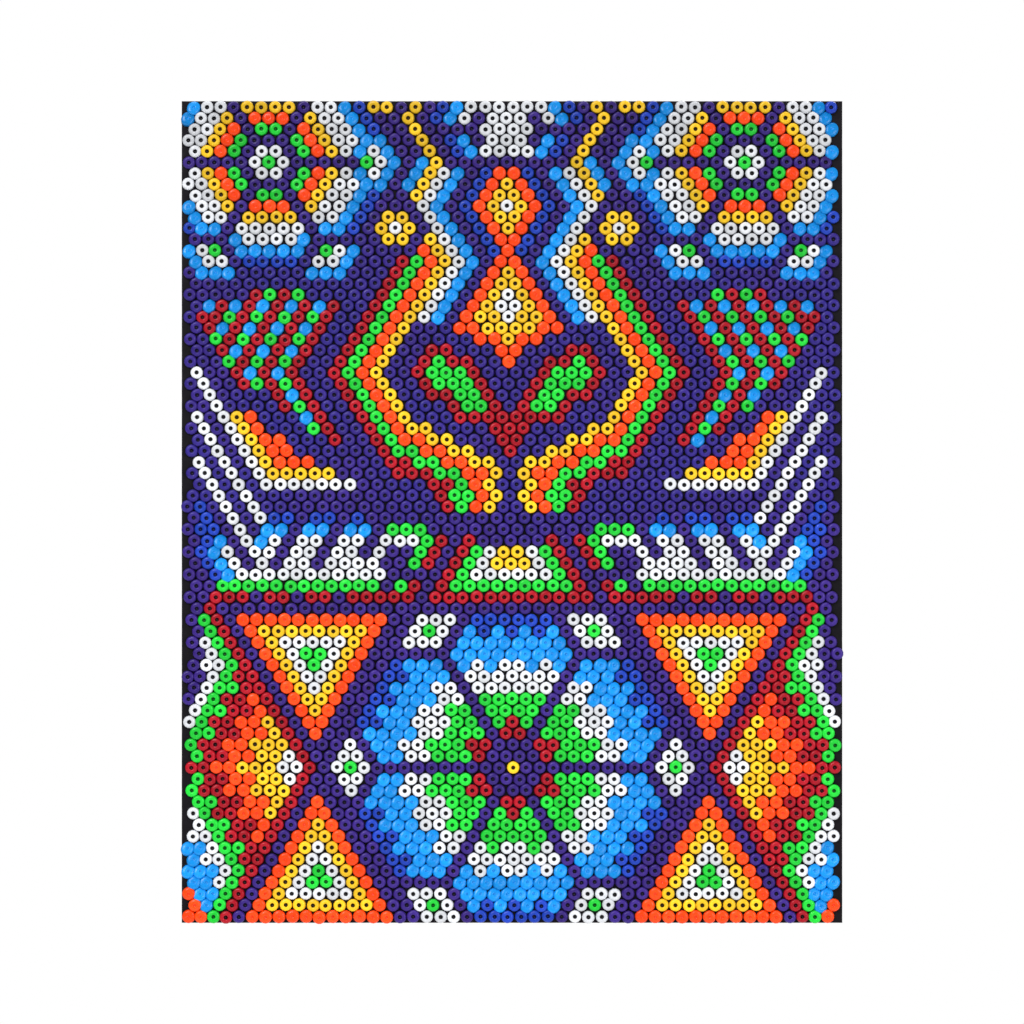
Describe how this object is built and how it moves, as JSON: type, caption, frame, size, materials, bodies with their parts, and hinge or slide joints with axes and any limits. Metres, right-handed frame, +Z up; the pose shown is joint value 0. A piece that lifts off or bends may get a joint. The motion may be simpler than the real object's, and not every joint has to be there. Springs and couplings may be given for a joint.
{
  "type": "huichol beaded panel",
  "caption": "Flat rectangular wall panel covered in seed beads pressed in wax, with mirrored flower, star and figure motifs and a loose hanging ring behind.",
  "frame": {"origin": "the point where a wall hook carries the hanging ring, when the ring is turned up", "axes": "+Z up, -Y out of the beaded face, +Y towards the wall, X across the panel"},
  "size_m": [0.1062, 0.0131, 0.132],
  "materials": {
    "purple_glass": "glossy opaque glass",
    "blue_glass": "glossy opaque glass",
    "white_glass": "glossy opaque glass",
    "yellow_glass": "glossy opaque glass",
    "orange_glass": "glossy opaque glass",
    "red_glass": "glossy opaque glass",
    "green_glass": "glossy opaque glass",
    "wax": "soft dark wax",
    "plywood": "raw sanded",
    "zinc_steel": "zinc plated",
    "screw_steel": "zinc plated"
  },
  "bodies": {
    "panel": {"backing_board": "plywood", "crown_beads": "white_glass", "diamond_beads_1": "white_glass", "diamond_beads_2": "white_glass", "diamond_beads_3": "white_glass", "diamond_beads_4": "white_glass", "diamond_beads_5": "white_glass", "diamond_beads_6": "white_glass", "flower_eye_beads": "purple_glass", "ground_beads": "purple_glass", "hanger_screw_1": "screw_steel", "hanger_screw_2": "screw_steel", "hanger_strap": "zinc_steel", "heart_beads": "red_glass", "left_comb_beads": "white_glass", "left_corner_beads": "yellow_glass", "left_great_band_beads": "red_glass", "left_inner_bud_beads": "blue_glass", "left_inner_ray_beads": "white_glass", "left_lower_triangle_beads": "green_glass", "left_middle_ray_beads": "white_glass", "left_outer_bud_beads": "blue_glass", "left_outer_ray_beads": "white_glass", "left_ring_flower_beads": "yellow_glass", "left_rosette_beads": "purple_glass", "left_rule_line_beads": "red_glass", "left_side_bud_beads": "blue_glass", "left_side_star_beads": "green_glass", "left_upper_triangle_beads": "green_glass", "left_wing_beads": "red_glass", "left_zigzag_beads": "yellow_glass", "lower_kite_beads": "orange_glass", "petal_beads_1": "blue_glass", "petal_beads_2": "blue_glass", "petal_beads_3": "blue_glass", "petal_beads_4": "blue_glass", "petal_beads_5": "blue_glass", "petal_beads_6": "blue_glass", "right_comb_beads": "white_glass", "right_corner_beads": "yellow_glass", "right_great_band_beads": "red_glass", "right_inner_bud_beads": "blue_glass", "right_inner_ray_beads": "white_glass", "right_lower_triangle_beads": "green_glass", "right_middle_ray_beads": "white_glass", "right_outer_bud_beads": "blue_glass", "right_outer_ray_beads": "white_glass", "right_ring_flower_beads": "yellow_glass", "right_rosette_beads": "purple_glass", "right_rule_line_beads": "red_glass", "right_side_bud_beads": "blue_glass", "right_side_star_beads": "green_glass", "right_upper_triangle_beads": "green_glass", "right_wing_beads": "red_glass", "right_zigzag_beads": "yellow_glass", "stepped_band_beads": "green_glass", "upper_kite_beads": "orange_glass", "wax_coat": "wax"},
    "hanging_ring": {"hanging_ring": "zinc_steel"}
  },
  "joints": [
    {"name": "ring_swing", "type": "hinge", "parent": "panel", "child": "hanging_ring", "pos_m": [0, 0, -0.0084], "axis": [1, 0, 0], "range_deg": [0, 180]}
  ]
}
